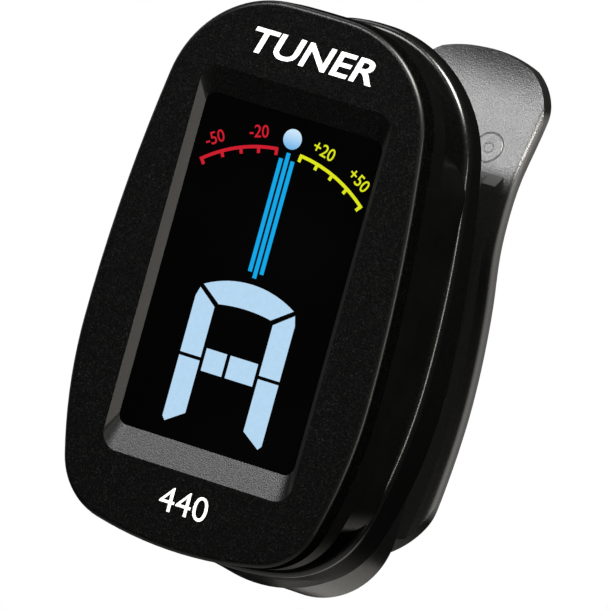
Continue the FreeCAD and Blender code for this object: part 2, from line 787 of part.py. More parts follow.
def lug_outline(sk, upper, lower):
    """A hinge lug: a round end about the pin, with straight sides to its root."""
    centre = (dim("pin_depth"), dim("pin_level"))
    radius = dim("lug_radius")
    sign = 1 if upper[0] < centre[0] else -1
    up = tangent_point(centre, radius, upper, -sign)
    low = tangent_point(centre, radius, lower, sign)
    tip = (centre[0] + sign * radius, centre[1])
    sk.addGeometry(line(upper, up))
    sk.addGeometry(arc(up, tip, low))
    sk.addGeometry(line(low, lower))
    sk.addGeometry(line(lower, upper))


def jaw_pads():
    level = dim("tongue_level")
    plane = dim("pad_plane")
    gap = dim("pad_clearance")
    half = dim("tongue_half_width") - 1.3
    for name, y0, y1 in (("front_jaw_pad", plane - gap - dim("pad_thick"), plane - gap),
                         ("rear_jaw_pad", plane + gap, plane + gap + dim("pad_thick"))):
        owner = body(name + "_body")
        sk = front_sketch(owner, name + "_outline", "%f mm" % y0)
        d_shape(sk, half, level, dim("tongue_top") - 1.3)
        pad(owner, sk, "%f mm" % (y1 - y0))
        ribs = front_sketch(owner, name + "_ribs", "%f mm" % (y1 - 0.5 if name[0] == "f" else y0 - 0.01))
        for i in range(5):
            z = level - 4.2 + 2.9 * i
            polygon(ribs, [(-half - 1, z), (half + 1, z), (half + 1, z + 0.6), (-half - 1, z + 0.6)])
        pocket(owner, ribs, "0.51 mm")
        place(owner, name)


# outer back edge of the rear arm, seen from the side: (Y, Z) from the top down
ARM_BACK = [(41.3, 27.3), (40.5, 22.5), (38.9, 18.0), (37.8, 15.0), (37.4, 11.0), (37.8, 7.3),
            (39.0, 3.5), (40.3, -1.8), (41.0, -9.5), (40.4, -15.5), (38.9, -21.5), (36.4, -26.2)]


def spline(sk, points):
    """A smooth curve through points."""
    curve = Part.BSplineCurve()
    curve.interpolate([V(a, b, 0) for a, b in points])
    sk.addGeometry(curve)


def offset_points(points, distance):
    """Points moved sideways off a run of points, towards the front."""
    moved = []
    for i, p in enumerate(points):
        a = points[max(i - 1, 0)]
        b = points[min(i + 1, len(points) - 1)]
        dy, dz = b[0] - a[0], b[1] - a[1]
        span = math.hypot(dy, dz)
        moved.append((p[0] + distance * dz / span, p[1] - distance * dy / span))
    return moved


def clip_rear_arm():
    owner = body("clip_rear_arm_body")
    front = offset_points(ARM_BACK, dim("arm_thick"))
    web = side_sketch(owner, "Web", "0")
    spline(web, ARM_BACK)
    spline(web, front)
    web.addGeometry(line(ARM_BACK[0], front[0]))
    web.addGeometry(line(ARM_BACK[-1], front[-1]))
    strip = across(owner, web, "Pad", "2 * dims.arm_half_width")
    round_edges(owner, strip, lambda e: e.Length > 20.0, "dims.arm_round")
    ribs = side_sketch(owner, "Ribs", "0")
    rim = dim("pad_plane") + 0.5
    outline = [(34.6, 14.1), (36.4, -2.0), (37.0, -8.0), (35.6, -12.6), (rim, -14.2), (rim, -26.0),
               (36.0, -26.0), (39.0, -19.0), (40.2, -9.5), (39.2, -1.0), (37.2, 7.0),
               (36.8, 12.0), (37.6, 16.3)]
    polygon(ribs, outline)
    across(owner, ribs, "Pad", "2 * dims.rib_outer")
    split = side_sketch(owner, "BetweenRibs", "0")
    ahead_of_web(split, front)
    across(owner, split, "Pocket", "2 * dims.rib_inner")
    lugs = side_sketch(owner, "RearLugs", "0")
    lug_outline(lugs, (37.0, 14.0), (38.6, -3.0))
    across(owner, lugs, "Pad", "2 * dims.rear_lug_outer")
    room = side_sketch(owner, "SpringRoom", "0")
    ahead_of_web(room, front)
    across(owner, room, "Pocket", "2 * dims.rear_lug_inner")
    arm_plan(owner)
    seat = front_sketch(owner, "RearPadSeat", "dims.pad_plane - 2")
    d_shape(seat, dim("tongue_half_width"), dim("tongue_level"), dim("tongue_top") - 1.2)
    pocket(owner, seat, "2 + dims.pad_clearance + dims.pad_thick")
    jaw = front_sketch(owner, "RearJaw", "dims.pad_plane + dims.pad_clearance + dims.pad_thick")
    d_shape(jaw, dim("rib_inner") + 0.3, dim("tongue_level") + 1.6, dim("tongue_top") - 1.4)
    pad(owner, jaw, "3.4 mm")
    bore = side_sketch(owner, "RearBore", "0")
    circle(bore, (dim("pin_depth"), dim("pin_level")), "dims.pin_radius + dims.pin_running")
    across(owner, bore, "Pocket", "dims.wide_cut")
    place(owner, "clip_rear_arm")


def ahead_of_web(sk, front):
    """The region in front of the arm's web, bounded by the web's own curve."""
    spline(sk, front)
    corners = [front[-1], (20.0, front[-1][1]), (20.0, front[0][1]), front[0]]
    for a, b in zip(corners[:-1], corners[1:]):
        sk.addGeometry(line(a, b))


def arm_plan(owner):
    """Trim the arm to its outline from the front: a soft square top, a round foot."""
    plan = front_sketch(owner, "ArmPlan", "20 mm")
    half = dim("arm_half_width")
    shoulder, top, foot, heel = 20.8, 27.15, -26.6, -17.5
    bend, crown = (7.35, 24.0), (5.2, 26.15)
    plan.addGeometry(arc((half, shoulder), bend, crown))
    plan.addGeometry(arc(crown, (0, top), (-crown[0], crown[1])))
    plan.addGeometry(arc((-crown[0], crown[1]), (-bend[0], bend[1]), (-half, shoulder)))
    plan.addGeometry(line((-half, shoulder), (-half, heel)))
    plan.addGeometry(arc((-half, heel), (0, foot), (half, heel)))
    plan.addGeometry(line((half, heel), (half, shoulder)))
    polygon(plan, [(-20, 32), (20, 32), (20, -34), (-20, -34)])
    pocket(owner, plan, "dims.wide_cut")


def hinge_pin():
    y, z = dim("pin_depth"), dim("pin_level")
    half = dim("pin_half_length")
    pin = bar(dim("pin_radius"), -half, half, y, z)
    feature("hinge_pin", pin.makeChamfer(0.25, [e for e in pin.Edges if len(e.Vertexes) == 1]))


def clip_spring():
    """Torsion spring: coils round the pin and one straight leg on each arm."""
    y, z = dim("pin_depth"), dim("pin_level")
    wire = dim("wire_radius")
    coil = dim("coil_radius")
    pitch = 2 * wire + 0.08
    solids = []
    turns = int(dim("coil_turns"))
    start = -pitch * (turns - 1) / 2
    for i in range(turns):
        ring = Part.makeTorus(coil, wire, V(start + pitch * i, y, z), V(1, 0, 0))
        solids.append(ring)
    link = Part.makeCylinder(wire * 0.9, pitch * (turns - 1), V(start, y, z + coil), V(1, 0, 0))
    front_leg = Part.makeCylinder(wire, 15.8, V(start, y - coil, z), V(0, -0.62, 0.785))
    rear_leg = Part.makeCylinder(wire, 12.4, V(-start, y + coil, z), V(0, 0.5, 0.866))
    shape = solids[0].multiFuse(solids[1:] + [link, front_leg, rear_leg])
    feature("clip_spring", shape)


front_case()
rear_case()
case_screws()
display_window()
display_stack()
electronics()
battery()
battery_tray()
power_button()
swivel()
clip_front_arm()
jaw_pads()
clip_rear_arm()
hinge_pin()
clip_spring()
doc.recompute()

failed = [o.Name for o in doc.Objects if "Invalid" in o.State or "Error" in o.State]
if failed:
    raise RuntimeError("failed features: %s" % failed)
os.makedirs("parts", exist_ok=True)
for item in NODES:
    shape = item.Shape
    if shape.isNull() or not shape.isValid():
        raise RuntimeError("%s has no valid shape" % item.Label)
    print("%-26s %9.1f mm3  solids %d" % (item.Label, shape.Volume, len(shape.Solids)))
    shape.exportStep("parts/%s.step" % item.Label)
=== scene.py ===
"""Looks of the clip-on tuner: materials, display graphics, marks, spring, stage, lights and camera."""
import math

import bmesh
import bpy
from mathutils import Matrix, Vector


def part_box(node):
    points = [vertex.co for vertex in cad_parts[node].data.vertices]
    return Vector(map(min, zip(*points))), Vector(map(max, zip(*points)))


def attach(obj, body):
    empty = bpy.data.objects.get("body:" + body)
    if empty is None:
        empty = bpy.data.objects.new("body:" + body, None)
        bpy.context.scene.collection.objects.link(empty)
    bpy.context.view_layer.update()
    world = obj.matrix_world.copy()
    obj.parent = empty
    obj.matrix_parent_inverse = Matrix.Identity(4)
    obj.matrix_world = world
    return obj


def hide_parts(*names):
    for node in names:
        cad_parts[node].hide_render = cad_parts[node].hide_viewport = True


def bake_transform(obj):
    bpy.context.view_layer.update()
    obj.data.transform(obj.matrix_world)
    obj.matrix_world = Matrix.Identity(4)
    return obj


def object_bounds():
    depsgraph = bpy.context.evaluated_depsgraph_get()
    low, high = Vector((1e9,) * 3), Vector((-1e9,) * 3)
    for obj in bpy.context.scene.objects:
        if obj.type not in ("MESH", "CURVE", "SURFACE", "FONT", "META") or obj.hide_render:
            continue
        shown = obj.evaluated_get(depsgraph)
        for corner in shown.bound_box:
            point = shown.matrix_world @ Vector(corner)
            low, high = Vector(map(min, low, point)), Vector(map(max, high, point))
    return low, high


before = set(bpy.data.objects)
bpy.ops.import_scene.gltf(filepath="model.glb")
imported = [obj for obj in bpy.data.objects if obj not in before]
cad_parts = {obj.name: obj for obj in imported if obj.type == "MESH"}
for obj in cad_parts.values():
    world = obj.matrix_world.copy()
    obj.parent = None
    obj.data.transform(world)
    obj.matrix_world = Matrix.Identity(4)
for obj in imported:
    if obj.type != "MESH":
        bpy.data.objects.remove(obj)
CAD_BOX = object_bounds()

MM = 0.001

# ---------------------------------------------------------------- places and sizes

# The middle of the bezel's front face, in the row frame. Lengths without MM are in millimetres
# from this point: x to the right, z up the display, depth towards the clip.
FACE_ABOVE_CASE_LOW = 27.7
case_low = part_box("front_case")[0]
FACE = Vector((0.0, case_low.y, case_low.z + FACE_ABOVE_CASE_LOW * MM))


def on_face(x, z, depth=0.0):
    """The row-frame place of a point given from the middle of the bezel's front face."""
    return FACE + Vector((x * MM, depth * MM, z * MM))


# The shell's matt skirt lies between its glossy front and its tongue.
SKIRT_DEPTH = 13.3
TONGUE_DEPTH = 19.9
SKIRT_FADE = 0.3

# The handle is matt below the level where its ribs begin, and its outer edges carry a painted highlight: a
# paler base colour for the light its rim catches.
RIB_TOP = 15.2
HANDLE_RIM_HIGHLIGHT = (8.0, 8.3)

# Ejector pins left a pair of ringed marks on the handle.
PIN_MARK_X = 4.0
PIN_MARK_Z = 17.6
PIN_MARK_RINGS = ((1.52, 1.0), (0.5, 0.25))  # radius, and depth against the deepest ring
PIN_GROOVE = (0.03, 0.10)  # half-widths of a groove at its bottom and at its top

# The lit graphics sit a little to the right of the bezel's middle.
GRAPHICS_SHIFT = 0.27
SEGMENT_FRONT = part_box("display_window")[0].y - 0.015 * MM
SEGMENT_THICK = 0.02 * MM

SCALE_CENTRE = -1.5  # level of the middle of the scale's circle
SCALE_RADIUS = 15.0
SCALE_BAND = 0.34
SCALE_OVERHANG = 0.15
TICK_PLACES = (1.4, 3.4, 5.3, 7.25, 9.2)
TICK_LENGTH = 0.8
TICK_HALF_WIDTH = 0.17
SCALE_NUMBERS = (("-50", -8.25, 12.5, "red"), ("-20", -3.75, 14.35, "red"),
                 ("+20", 3.65, 14.35, "yellow"), ("+50", 8.15, 12.6, "yellow"))
NUMBER_HEIGHT = 1.25

DOT_LEVEL = 14.6
DOT_RADIUS = 1.02

NEEDLE_BAR_HALF_WIDTH = 0.22
NEEDLE_BARS = ((-0.66, 0.95, 12.5), (0.0, 0.4, 13.2), (0.66, 0.95, 12.5))  # x, low end, high end

# The note name A: the arcs of its cap, the outlines of its right-hand strokes, which the
# left-hand ones mirror, and the two halves of its bar.
NOTE_CAP_TOP = (-11.05, 10.8, 61.5, 118.5)  # centre, radius, start and end in degrees
NOTE_CAP_LOW = (-19.5, 16.7, 100.3, 79.7)
NOTE_STROKES = (
    ((5.42, -1.95), (5.7, -2.9), (5.7, -8.6), (3.35, -8.6), (3.35, -3.45)),
    ((5.7, -8.95), (5.7, -15.2), (5.35, -15.6), (3.35, -14.3), (3.35, -8.95)),
)
NOTE_BAR_HALVES = ((-2.95, -0.6), (-0.2, 2.95))
NOTE_BAR_LEVELS = (-9.85, -7.55)

PRINT_FRONT = FACE.y - 0.02 * MM
PRINT_THICK = 0.03 * MM
PRINT_HEIGHT = 2.5
CAPITAL_SHARE = 0.7  # a capital's height against the built-in font's size

# The spring is wound round the middle of the hinge pin. Its angles are in degrees, 0 along +Y
# and 90 along +Z.
PIN = sum(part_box("hinge_pin"), Vector()) / 2
COIL_RADIUS = 2.6 * MM
COIL_SPAN = 3.234 * MM
COIL_START = 218
COIL_SWEEP = 3 * 360 + 112
COIL_STEPS = 176
FRONT_LEG = 16.9 * MM
REAR_LEG = 13.2 * MM
LEG_STEPS = 12
WIRE_RADIUS = 0.45 * MM
WIRE_SIDES = 14


# ---------------------------------------------------------------- colours

def linear(r, g, b):
    """An sRGB colour, 0 to 255, as linear light."""
    def channel(c):
        c = c / 255
        return c / 12.92 if c <= 0.04045 else ((c + 0.055) / 1.055) ** 2.4
    return (channel(r), channel(g), channel(b), 1.0)


def grey(v):
    return (v, v, v, 1.0)


def scaled(colour, factor):
    return tuple(c * factor for c in colour[:3]) + (1.0,)


# ---------------------------------------------------------------- shader nodes

def new_material(name):
    mat = bpy.data.materials.new(name)
    mat.use_nodes = True
    tree = mat.node_tree
    return mat, tree, tree.nodes["Principled BSDF"]


def add(tree, kind, **values):
    """A new node with its inputs or settings given by name."""
    node = tree.nodes.new(kind)
    for key, value in values.items():
        if key in node.inputs:
            node.inputs[key].default_value = value
        else:
            setattr(node, key, value)
    return node


def textured(tree, kind, output, **values):
    """The output of a texture in object coordinates; its scale is in features per metre."""
    node = add(tree, kind, **values)
    coords = tree.nodes.new("ShaderNodeTexCoord")
    tree.links.new(coords.outputs["Object"], node.inputs["Vector"])
    return node.outputs[output]


def noise(tree, scale, detail=2.0, roughness=0.5):
    return textured(tree, "ShaderNodeTexNoise", "Fac", Scale=scale, Detail=detail, Roughness=roughness)


def coordinate(tree, kind, axis):
    """One axis of an object-space coordinate, such as "Object" or "Normal"."""
    coords = tree.nodes.new("ShaderNodeTexCoord")
    split = tree.nodes.new("ShaderNodeSeparateXYZ")
    tree.links.new(coords.outputs[kind], split.inputs["Vector"])
    return split.outputs[axis]


def ramp(tree, value, *stops):
    """The value turned to a colour; each stop is a place and its colour."""
    node = tree.nodes.new("ShaderNodeValToRGB")
    elements = node.color_ramp.elements
    while len(elements) < len(stops):
        elements.new(0.5)
    for element, (place, colour) in zip(elements, stops):
        element.position = place
        element.color = colour
    tree.links.new(value, node.inputs["Fac"])
    return node.outputs["Color"]


def grey_ramp(tree, value, low, high):
    """A texture's value turned to a grey or a number between low and high."""
    return ramp(tree, value, (0.3, grey(low)), (0.7, grey(high)))


def maths(tree, operation, first, second=None):
    node = add(tree, "ShaderNodeMath", operation=operation)
    for socket, value in zip(node.inputs, (first, second)):
        if isinstance(value, (int, float)):
            socket.default_value = value
        elif value is not None:
            tree.links.new(value, socket)
    return node.outputs["Value"]


def spread(tree, value, start, end, low=0.0, high=1.0):
    """The value's range from start to end, mapped to low to high and clamped."""
    node = tree.nodes.new("ShaderNodeMapRange")
    for key, number in (("From Min", start), ("From Max", end), ("To Min", low), ("To Max", high)):
        node.inputs[key].default_value = number
    tree.links.new(value, node.inputs["Value"])
    return node.outputs["Result"]


def grain_spread(tree, grain, low, high):
    """Fine grain mapped to low to high, over the part of its range that noise reaches."""
    return spread(tree, grain, 0.3, 0.75, low, high)


def bump(tree, shader, height, strength, distance, mask=None):
    node = add(tree, "ShaderNodeBump", Strength=strength, Distance=distance)
    tree.links.new(height, node.inputs["Height"])
    if mask:
        tree.links.new(maths(tree, "MULTIPLY", mask, strength), node.inputs["Strength"])
    tree.links.new(node.outputs["Normal"], shader.inputs["Normal"])


# ---------------------------------------------------------------- materials

def moulded_plastic(name, tone, rough, grain, depth, specular, strength):
    """Moulded plastic or rubber: spark-eroded grain, slightly uneven tone and roughness."""
    mat, tree, shader = new_material(name)
    fine = noise(tree, grain, roughness=0.6)
    broad = noise(tree, 180.0, detail=3.0)
    tree.links.new(grey_ramp(tree, broad, tone * 0.8, tone * 1.25), shader.inputs["Base Color"])
    tree.links.new(grain_spread(tree, fine, rough * 0.8, rough * 1.2), shader.inputs["Roughness"])
    shader.inputs["Specular IOR Level"].default_value = specular
    bump(tree, shader, fine, strength, depth)
    return mat


def bezel_plastic():
    """The bezel: sparkling grain on its forward faces, rougher where it faces left, matt round its sides."""
    mat, tree, shader = new_material("bezel_grain")
    fine = noise(tree, 7000.0, detail=3.0, roughness=0.7)
    specks = ramp(tree, fine, (0.52, grey(0.0008)), (0.64, grey(0.003)), (0.74, grey(0.04)))
    tree.links.new(specks, shader.inputs["Base Color"])
    sideways = coordinate(tree, "Normal", "X")
    grained = spread(tree, maths(tree, "ABSOLUTE", sideways), 0.12, 0.45, 1.0, 0.0)
    roughness = spread(tree, sideways, -0.5, -0.3, 0.76, 0.36)
    glint = maths(tree, "MULTIPLY", grained, grain_spread(tree, fine, -0.12, -0.02))
    tree.links.new(maths(tree, "ADD", glint, roughness), shader.inputs["Roughness"])
    forwards = maths(tree, "MULTIPLY", coordinate(tree, "Normal", "Y"), -1.0)
    tree.links.new(spread(tree, forwards, 0.25, 0.45, 0.0, 0.33), shader.inputs["Specular IOR Level"])
    bump(tree, shader, fine, 0.9, 0.00002, grained)
    return mat


def shell_plastic():
    """The clip's front arm: glossy front and tongue, with a matt skirt between them."""
    mat, tree, shader = new_material("clip_satin")
    fine = noise(tree, 3000.0, roughness=0.6)
    tree.links.new(grey_ramp(tree, fine, 0.0016, 0.0025), shader.inputs["Base Color"])
    tree.links.new(grain_spread(tree, fine, 0.2, 0.28), shader.inputs["Roughness"])
    depth = coordinate(tree, "Object", "Y")
    front, tongue = [on_face(0.0, 0.0, level).y for level in (SKIRT_DEPTH, TONGUE_DEPTH)]
    behind_front = spread(tree, depth, front, front + SKIRT_FADE * MM)
    before_tongue = spread(tree, depth, tongue, tongue + SKIRT_FADE * MM, 1.0, 0.0)
    skirt = maths(tree, "MULTIPLY", behind_front, before_tongue)
    tree.links.new(spread(tree, skirt, 0.0, 1.0, 0.5, 0.01), shader.inputs["Specular IOR Level"])
    bump(tree, shader, fine, 0.5, 0.000004)
    return mat


def pin_marks(tree, from_middle, level):
    """How deep the ejector pins' rings are at a point of the handle, on its inner side only."""
    across = maths(tree, "SUBTRACT", from_middle, PIN_MARK_X * MM)
    up = maths(tree, "SUBTRACT", level, on_face(0.0, PIN_MARK_Z).z)
    squares = [maths(tree, "MULTIPLY", length, length) for length in (across, up)]
    reach = maths(tree, "SQRT", maths(tree, "ADD", *squares))
    bottom, top = PIN_GROOVE
    rings = []
    for radius, depth in PIN_MARK_RINGS:
        off_ring = maths(tree, "ABSOLUTE", maths(tree, "SUBTRACT", reach, radius * MM))
        rings.append(spread(tree, off_ring, bottom * MM, top * MM, depth, 0.0))
    inner_side = maths(tree, "LESS_THAN", coordinate(tree, "Normal", "Y"), -0.5)
    return maths(tree, "MULTIPLY", maths(tree, "MAXIMUM", *rings), inner_side)


def handle_plastic():
    """The handle: fine grain, a painted highlight along its outer edges, a matt ribbed part and two
    ejector-pin marks.
    """
    mat, tree, shader = new_material("handle_grain_painted_rim")
    fine = noise(tree, 7000.0, roughness=0.6)
    from_middle = maths(tree, "ABSOLUTE", coordinate(tree, "Object", "X"))
    level = coordinate(tree, "Object", "Z")
    # Painted highlight: the base colour grows paler over the handle's outer edges, standing in for light
    # caught by its rim; the grain is added on top.
    rim_highlight_start, rim_highlight_end = HANDLE_RIM_HIGHLIGHT
    painted_rim_highlight = spread(tree, from_middle, rim_highlight_start * MM, rim_highlight_end * MM, 0.0, 0.8)
    grain_and_rim_highlight = maths(tree, "ADD", painted_rim_highlight, maths(tree, "MULTIPLY", fine, 0.2))
    colour = ramp(tree, grain_and_rim_highlight, (0.1, grey(0.004)), (0.9, grey(0.07)))
    tree.links.new(colour, shader.inputs["Base Color"])
    tree.links.new(grain_spread(tree, fine, 0.289, 0.391), shader.inputs["Roughness"])
    rib_top = on_face(0.0, RIB_TOP).z
    sheen = spread(tree, level, rib_top - 2.0 * MM, rib_top + 1.0 * MM, 0.06, 0.9)
    tree.links.new(sheen, shader.inputs["Specular IOR Level"])
    grain = maths(tree, "MULTIPLY", fine, 0.5)
    marked = maths(tree, "SUBTRACT", grain, pin_marks(tree, from_middle, level))
    bump(tree, shader, marked, 0.7, 0.00008)
    return mat


def glowing(name, lit, foot=None):
    """A lit display segment; with a foot colour it shades down to that over the dot's height."""
    mat, tree, shader = new_material(name)
    shader.inputs["Base Color"].default_value = grey(0.0)
    shader.inputs["Roughness"].default_value = 0.6
    shader.inputs["Specular IOR Level"].default_value = 0.0
    shader.inputs["Emission Strength"].default_value = 1.0
    if foot is None:
        colour = ramp(tree, noise(tree, 2500.0), (0.35, scaled(lit, 0.96)), (0.65, lit))
    else:
        bottom, top = [on_face(0.0, DOT_LEVEL + side * DOT_RADIUS).z for side in (-1, 1)]
        climb = spread(tree, coordinate(tree, "Object", "Z"), bottom, top)
        colour = ramp(tree, climb, (0.1, foot), (0.9, lit))
    tree.links.new(colour, shader.inputs["Emission Color"])
    return mat


def metal(name, colour, rough):
    """Plated or rolled metal with faint drawing marks."""
    mat, tree, shader = new_material(name)
    fine = noise(tree, 900.0, detail=4.0)
    drawn = ramp(tree, fine, (0.3, scaled(colour, 0.85)), (0.7, colour))
    tree.links.new(drawn, shader.inputs["Base Color"])
    tree.links.new(grey_ramp(tree, fine, rough * 0.7, rough * 1.3), shader.inputs["Roughness"])
    shader.inputs["Metallic"].default_value = 1.0
    bump(tree, shader, fine, 0.15, 0.00002)
    return mat


def smoked_window():
    mat, tree, shader = new_material("window_smoke")
    haze = noise(tree, 60.0)
    tree.links.new(grey_ramp(tree, haze, 0.0004, 0.0008), shader.inputs["Base Color"])
    tree.links.new(grey_ramp(tree, haze, 0.05, 0.08), shader.inputs["Roughness"])
    shader.inputs["Specular IOR Level"].default_value = 0.12
    return mat


def printed_white():
    mat, tree, shader = new_material("printed_white")
    fine = noise(tree, 6000.0)
    tree.links.new(grey_ramp(tree, fine, 0.80, 0.9), shader.inputs["Base Color"])
    shader.inputs["Roughness"].default_value = 0.6
    bump(tree, shader, fine, 0.2, 0.00001)
    return mat


def circuit_green():
    mat, tree, shader = new_material("solder_mask")
    cells = textured(tree, "ShaderNodeTexVoronoi", "Distance", Scale=900.0)
    colour = ramp(tree, cells, (0.2, (0.01, 0.12, 0.04, 1)), (0.6, (0.02, 0.2, 0.07, 1)))
    tree.links.new(colour, shader.inputs["Base Color"])
    shader.inputs["Roughness"].default_value = 0.35
    return mat


def pale_floor():
    mat, tree, shader = new_material("pale_floor")
    tree.links.new(grey_ramp(tree, noise(tree, 30.0), 0.84, 0.88), shader.inputs["Base Color"])
    shader.inputs["Roughness"].default_value = 0.9
    return mat


MATERIALS = {
    "bezel": bezel_plastic(),
    "clip": shell_plastic(),
    "handle": handle_plastic(),
    # tone, roughness, grain per metre, grain depth in metres, specular level, bump strength
    "case": moulded_plastic("case_satin", 0.002, 0.30, 3800.0, 0.000004, 0.03, 0.5),
    "pad": moulded_plastic("pad_rubber", 0.02, 0.75, 2500.0, 0.00003, 0.3, 0.5),
    "button": moulded_plastic("button_rubber", 0.015, 0.6, 3000.0, 0.00002, 0.3, 0.4),
    "chip": moulded_plastic("chip_resin", 0.03, 0.5, 2500.0, 0.00001, 0.4, 0.3),
    "white": moulded_plastic("white_resin", 0.75, 0.35, 2000.0, 0.00001, 0.5, 0.2),
    "elastomer": moulded_plastic("grey_elastomer", 0.35, 0.7, 2500.0, 0.00002, 0.3, 0.3),
    "window": smoked_window(),
    "board": circuit_green(),
    "steel": metal("plated_steel", (0.62, 0.62, 0.64, 1.0), 0.28),
    "spring_steel": metal("spring_steel", (0.5, 0.5, 0.52, 1.0), 0.22),
    "brass": metal("brass", (0.78, 0.56, 0.24, 1.0), 0.3),
    "print": printed_white(),
    "segment": glowing("segment_pale_blue", linear(184, 217, 243)),
    "dot": glowing("segment_dot", linear(205, 232, 250), linear(120, 185, 235)),
    "red": glowing("segment_red", linear(205, 32, 48)),
    "yellow": glowing("segment_yellow", linear(224, 232, 32)),
    "cyan": glowing("segment_cyan", linear(22, 168, 232)),
    "floor": pale_floor(),
}

NODE_MATERIALS = {
    "front_case": "bezel", "rear_case": "case", "battery_tray": "case", "case_screws": "steel",
    "display_window": "window", "lcd_panel": "window", "backlight": "white",
    "display_connector": "elastomer", "circuit_board": "board", "board_components": "chip",
    "tact_switch": "chip", "piezo_sensor": "brass", "coin_cell": "steel",
    "battery_contact_negative": "spring_steel", "battery_contact_positive": "spring_steel",
    "power_button": "button", "swivel_friction_ring": "white", "swivel_washer": "steel",
    "swivel_screw": "steel", "clip_front_arm": "clip", "clip_rear_arm": "handle",
    "front_jaw_pad": "pad", "rear_jaw_pad": "pad", "hinge_pin": "steel", "clip_spring": "spring_steel",
}
for node_name, key in NODE_MATERIALS.items():
    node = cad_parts[node_name]
    node.data.materials.clear()
    node.data.materials.append(MATERIALS[key])


# ---------------------------------------------------------------- mesh helpers

def put(name, mesh, material):
    """The mesh as one object in the scene, with one material."""
    mesh.name = name
    mesh.materials.clear()
    mesh.materials.append(MATERIALS[material])
    obj = bpy.data.objects.new(name, mesh)
    bpy.context.scene.collection.objects.link(obj)
    return obj


def finished_mesh(bm):
    bmesh.ops.recalc_face_normals(bm, faces=bm.faces)
    mesh = bpy.data.meshes.new("mesh")
    bm.to_mesh(mesh)
    bm.free()
    return mesh


def arc_points(centre_z, radius, start, end, count):
    """Points on a circle round x = 0; angles in degrees, 0 along +X and 90 along +Z."""
    points = []
    for i in range(count + 1):
        a = math.radians(start + (end - start) * i / count)
        points.append((radius * math.cos(a), centre_z + radius * math.sin(a)))
    return points


def rectangle(left, right, low, high):
    return [(left, low), (right, low), (right, high), (left, high)]


def tube(path, radius, sides):
    """The mesh of a round wire along a path, closed at both ends."""
    bm = bmesh.new()
    rings = []
    normal = Vector((1, 0, 0))
    for i, point in enumerate(path):
        before = path[max(i - 1, 0)]
        after = path[min(i + 1, len(path) - 1)]
        tangent = (after - before).normalized()
        normal = (normal - tangent * normal.dot(tangent)).normalized()
        other = tangent.cross(normal)
        ring = []
        for k in range(sides):
            a = math.tau * k / sides
            ring.append(bm.verts.new(point + (normal * math.cos(a) + other * math.sin(a)) * radius))
        rings.append(ring)
    for first, second in zip(rings[:-1], rings[1:]):
        for k in range(sides):
            bm.faces.new((first[k], first[(k + 1) % sides], second[(k + 1) % sides], second[k]))
    bm.faces.new(rings[0])
    bm.faces.new(list(reversed(rings[-1])))
    for face in bm.faces:
        face.smooth = len(face.verts) == 4
    return finished_mesh(bm)


# ---------------------------------------------------------------- display and printed marks

def segments(name, outlines, material):
    """Lit segments: thin plates on the glass, with the given (x, z) outlines."""
    bm = bmesh.new()
    for outline in outlines:
        places = [on_face(x + GRAPHICS_SHIFT, z) for x, z in outline]
        verts = [bm.verts.new((place.x, SEGMENT_FRONT, place.z)) for place in places]
        grown = bmesh.ops.extrude_face_region(bm, geom=[bm.faces.new(verts)])
        moved = [g for g in grown["geom"] if isinstance(g, bmesh.types.BMVert)]
        bmesh.ops.translate(bm, verts=moved, vec=(0, SEGMENT_THICK, 0))
    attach(put(name, finished_mesh(bm), material), "head")


def scale_angle(x):
    return math.degrees(math.acos(x / SCALE_RADIUS))


def tuning_scale(name, side, material):
    """One half of the tuning scale: a band on a circle with a row of ticks."""
    ends = (TICK_PLACES[0] - SCALE_OVERHANG, TICK_PLACES[-1] + SCALE_OVERHANG)
    near, far = [scale_angle(side * x) for x in ends]
    outer = arc_points(SCALE_CENTRE, SCALE_RADIUS, near, far, 24)
    inner = arc_points(SCALE_CENTRE, SCALE_RADIUS - SCALE_BAND, far, near, 24)
    outlines = [outer + inner]
    centre = Vector((0, SCALE_CENTRE))
    for x in TICK_PLACES:
        a = math.radians(scale_angle(side * x))
        along = Vector((math.cos(a), math.sin(a)))
        wide = Vector((-math.sin(a), math.cos(a))) * TICK_HALF_WIDTH
        top = centre + along * (SCALE_RADIUS - SCALE_BAND / 2)
        low = centre + along * (SCALE_RADIUS - TICK_LENGTH)
        outlines.append([tuple(top + wide), tuple(top - wide), tuple(low - wide), tuple(low + wide)])
    segments(name, outlines, material)


def note_letter():
    """The note name A as lit segments: a cap, two strokes a side and a bar in two halves."""
    outlines = [arc_points(*NOTE_CAP_TOP, 16) + arc_points(*NOTE_CAP_LOW, 12)]
    for side in (-1, 1):
        for stroke in NOTE_STROKES:
            outlines.append([(side * x, z) for x, z in stroke])
    for left, right in NOTE_BAR_HALVES:
        outlines.append(rectangle(left, right, *NOTE_BAR_LEVELS))
    segments("display_note", outlines, "segment")


def needle():
    wide = NEEDLE_BAR_HALF_WIDTH
    bars = [rectangle(x - wide, x + wide, low, high) for x, low, high in NEEDLE_BARS]
    segments("display_needle", bars, "cyan")


def flat_text(name, text, x, z, height, material, front, thick, turn=0.0, width=1.0, slant=0.0, bold=0.0):
    """Text laid on the face as a thin mesh; turn in degrees, anticlockwise from the front."""
    curve = bpy.data.curves.new(name, "FONT")
    curve.body = text
    curve.align_x = "CENTER"
    curve.align_y = "CENTER"
    curve.size = height * MM / CAPITAL_SHARE
    curve.extrude = thick / 2
    curve.offset = bold * MM
    curve.shear = slant
    curve.resolution_u = 4
    holder = bpy.data.objects.new(name, curve)
    bpy.context.scene.collection.objects.link(holder)
    bpy.context.view_layer.update()
    mesh = bpy.data.meshes.new_from_object(holder)
    bpy.data.objects.remove(holder)
    place = Matrix.Translation((x * MM, front + thick / 2, on_face(x, z).z))
    stand = Matrix.Rotation(math.radians(90), 4, "X")
    spin = Matrix.Rotation(math.radians(turn), 4, "Z")
    mesh.transform(place @ stand @ spin @ Matrix.Diagonal((width, 1, 1, 1)))
    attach(put(name, mesh, material), "head")


